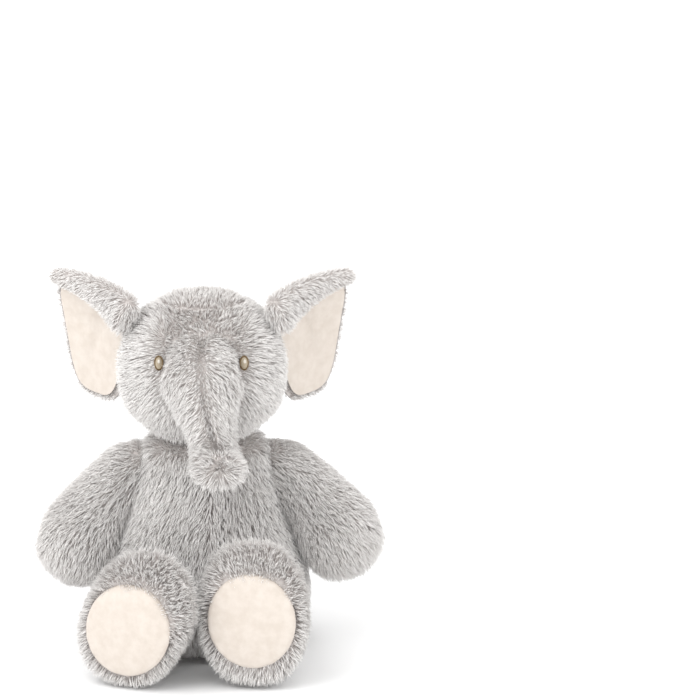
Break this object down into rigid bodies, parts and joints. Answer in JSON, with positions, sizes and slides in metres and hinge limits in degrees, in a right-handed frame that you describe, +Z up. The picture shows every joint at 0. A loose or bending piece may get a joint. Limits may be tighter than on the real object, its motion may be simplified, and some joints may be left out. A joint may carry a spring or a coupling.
{
  "type": "stuffed elephant",
  "caption": "Seated soft elephant in long-pile plush with velour ears and foot pads, a hanging trunk, and arms, legs, ears and head that move at their seams.",
  "frame": {"origin": "on the flat underside of the seat, below the neck seam's front, on the surface that the elephant sits on", "axes": "+Z up through the head, -Y the way the elephant faces, +X its own left"},
  "size_m": [0.3048, 0.2644, 0.3354],
  "materials": {
    "plush": "long soft pile plush, light grey tips over browner grey roots",
    "velour": "short nap velour, cream",
    "eye_thread": "satin-stitch embroidery thread, taupe",
    "sewing_thread": "matt polyester sewing thread, grey",
    "filling": "white polyester fibre"
  },
  "bodies": {
    "body": {"body_front_left": "plush", "body_front_right": "plush", "body_back_left": "plush", "body_back_right": "plush", "body_seat": "plush", "body_filling": "filling", "pellet_bag": "filling"},
    "neck": {"neck_seam": "sewing_thread"},
    "head": {"head_gusset": "plush", "head_side_left": "plush", "head_side_right": "plush", "head_filling": "filling", "eye_left": "eye_thread", "eye_right": "eye_thread"},
    "trunk": {"trunk_left": "plush", "trunk_right": "plush", "trunk_filling": "filling"},
    "ear_left": {"ear_left_back": "plush", "ear_left_lining": "velour"},
    "ear_right": {"ear_right_back": "plush", "ear_right_lining": "velour"},
    "arm_left": {"arm_left_outer": "plush", "arm_left_inner": "plush", "arm_left_filling": "filling"},
    "arm_right": {"arm_right_outer": "plush", "arm_right_inner": "plush", "arm_right_filling": "filling"},
    "leg_left": {"leg_left_outer": "plush", "leg_left_inner": "plush", "pad_left": "velour", "leg_left_filling": "filling"},
    "leg_right": {"leg_right_outer": "plush", "leg_right_inner": "plush", "pad_right": "velour", "leg_right_filling": "filling"},
    "tail": {"tail": "plush"}
  },
  "joints": [
    {"name": "head_turn", "type": "hinge", "parent": "body", "child": "neck", "pos_m": [-0.003, -0.01, 0.2], "axis": [0, 0, 1], "range_deg": [-25, 25], "stiffness_Nm_per_rad": 0.5},
    {"name": "head_nod", "type": "hinge", "parent": "neck", "child": "head", "pos_m": [-0.003, -0.01, 0.2], "axis": [1, 0, 0], "range_deg": [-15, 12], "stiffness_Nm_per_rad": 1},
    {"name": "trunk_lift", "type": "hinge", "parent": "head", "child": "trunk", "pos_m": [-0.003, -0.048, 0.264], "axis": [-1, 0, 0], "range_deg": [-5, 30], "stiffness_Nm_per_rad": 0.2},
    {"name": "ear_left_flap", "type": "hinge", "parent": "head", "child": "ear_left", "pos_m": [0.0675, -0.014, 0.276], "axis": [0, 0, 1], "range_deg": [-22, 22], "stiffness_Nm_per_rad": 0.04},
    {"name": "ear_right_flap", "type": "hinge", "parent": "head", "child": "ear_right", "pos_m": [-0.0735, -0.014, 0.276], "axis": [0, 0, -1], "range_deg": [-22, 22], "stiffness_Nm_per_rad": 0.04},
    {"name": "arm_left_swing", "type": "hinge", "parent": "body", "child": "arm_left", "pos_m": [0.05208, -0.004, 0.163], "axis": [-1, 0, 0], "range_deg": [-35, 100], "stiffness_Nm_per_rad": 0.15},
    {"name": "arm_right_swing", "type": "hinge", "parent": "body", "child": "arm_right", "pos_m": [-0.05208, -0.004, 0.163], "axis": [-1, 0, 0], "range_deg": [-35, 100], "stiffness_Nm_per_rad": 0.15},
    {"name": "leg_left_lift", "type": "hinge", "parent": "body", "child": "leg_left", "pos_m": [0.04998, -0.06388, 0.031], "axis": [1, 0, 0], "range_deg": [-18, 0], "stiffness_Nm_per_rad": 0.3},
    {"name": "leg_right_lift", "type": "hinge", "parent": "body", "child": "leg_right", "pos_m": [-0.04998, -0.06388, 0.031], "axis": [1, 0, 0], "range_deg": [-18, 0], "stiffness_Nm_per_rad": 0.3},
    {"name": "tail_swing", "type": "hinge", "parent": "body", "child": "tail", "pos_m": [0, 0.086, 0.058], "axis": [0, 1, 0], "range_deg": [-30, 30], "stiffness_Nm_per_rad": 0.02}
  ]
}
